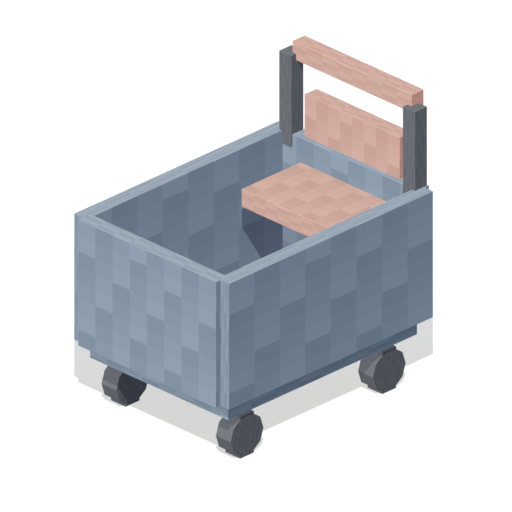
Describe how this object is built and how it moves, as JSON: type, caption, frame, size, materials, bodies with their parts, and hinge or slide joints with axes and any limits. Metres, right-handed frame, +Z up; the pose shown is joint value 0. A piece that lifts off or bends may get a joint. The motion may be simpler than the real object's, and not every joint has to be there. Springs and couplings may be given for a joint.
{
  "type": "mine cart",
  "caption": "Open timber mine cart on small ten-sided wheels, with a seat plank, a backrest and a push bar between two posts at the rear.",
  "frame": {"origin": "on the ground, at the middle of the whole cart's outline seen from above", "axes": "+Z up, +Y towards the push bar, front wall faces -Y, +X is the right-hand side as seen from the front"},
  "size_m": [0.766, 1.0744, 1.106],
  "materials": {
    "tub_timber": "blue-grey stain with a blocky tone pattern, satin",
    "base_timber": "blue-grey stain, satin",
    "floor_timber": "blue-grey stain, worn satin",
    "seat_timber": "pale pink-brown stain with a blocky tone pattern, satin",
    "post_timber": "charcoal stain with fine streaks along the grain",
    "dowel_timber": "plain hardwood",
    "wheel_iron": "charcoal, with fine upright streaks",
    "hanger_iron": "charcoal",
    "strap_iron": "black painted steel",
    "bright_steel": "zinc grey",
    "bush_brass": "plain bronze"
  },
  "bodies": {
    "cart": {"hanger_screws": "bright_steel", "wheel_hanger_front_right": "hanger_iron", "axle_bush_front_right": "bush_brass", "wheel_hanger_front_left": "hanger_iron", "axle_bush_front_left": "bush_brass", "wheel_hanger_rear_right": "hanger_iron", "axle_bush_rear_right": "bush_brass", "wheel_hanger_rear_left": "hanger_iron", "axle_bush_rear_left": "bush_brass", "wall_screws": "bright_steel", "floor_screws": "bright_steel", "floor_board_1": "floor_timber", "floor_board_2": "floor_timber", "floor_board_3": "floor_timber", "floor_board_4": "floor_timber", "floor_board_5": "floor_timber", "floor_board_6": "floor_timber", "side_sill_left": "base_timber", "side_sill_right": "base_timber", "end_sill_front": "base_timber", "end_sill_rear": "base_timber", "cross_member_front": "base_timber", "cross_member_rear": "base_timber", "strap_screws": "bright_steel", "push_bar_screws": "bright_steel", "push_bar": "seat_timber", "post_left": "post_timber", "post_strap_left": "strap_iron", "post_right": "post_timber", "post_strap_right": "strap_iron", "backrest_screws": "bright_steel", "backrest": "seat_timber", "bracket_screws": "bright_steel", "seat": "seat_timber", "seat_bracket_left": "strap_iron", "seat_bracket_right": "strap_iron", "corner_dowels": "dowel_timber", "side_wall_left": "tub_timber", "side_wall_right": "tub_timber", "front_wall": "tub_timber", "rear_wall": "tub_timber"},
    "wheel_set_front_left": {"wheel_front_left": "wheel_iron", "stub_axle_front_left": "bright_steel", "axle_washer_front_left": "bright_steel", "axle_nut_front_left": "bright_steel"},
    "wheel_set_front_right": {"wheel_front_right": "wheel_iron", "stub_axle_front_right": "bright_steel", "axle_washer_front_right": "bright_steel", "axle_nut_front_right": "bright_steel"},
    "wheel_set_rear_left": {"wheel_rear_left": "wheel_iron", "stub_axle_rear_left": "bright_steel", "axle_washer_rear_left": "bright_steel", "axle_nut_rear_left": "bright_steel"},
    "wheel_set_rear_right": {"wheel_rear_right": "wheel_iron", "stub_axle_rear_right": "bright_steel", "axle_washer_rear_right": "bright_steel", "axle_nut_rear_right": "bright_steel"}
  },
  "joints": [
    {"name": "wheel_front_right_spin", "type": "hinge", "parent": "cart", "child": "wheel_set_front_right", "pos_m": [0.283, -0.36175, 0.082], "axis": [1, 0, 0], "continuous": true},
    {"name": "wheel_front_left_spin", "type": "hinge", "parent": "cart", "child": "wheel_set_front_left", "pos_m": [-0.283, -0.36175, 0.082], "axis": [1, 0, 0], "continuous": true},
    {"name": "wheel_rear_right_spin", "type": "hinge", "parent": "cart", "child": "wheel_set_rear_right", "pos_m": [0.283, 0.34225, 0.082], "axis": [1, 0, 0], "continuous": true},
    {"name": "wheel_rear_left_spin", "type": "hinge", "parent": "cart", "child": "wheel_set_rear_left", "pos_m": [-0.283, 0.34225, 0.082], "axis": [1, 0, 0], "continuous": true}
  ]
}
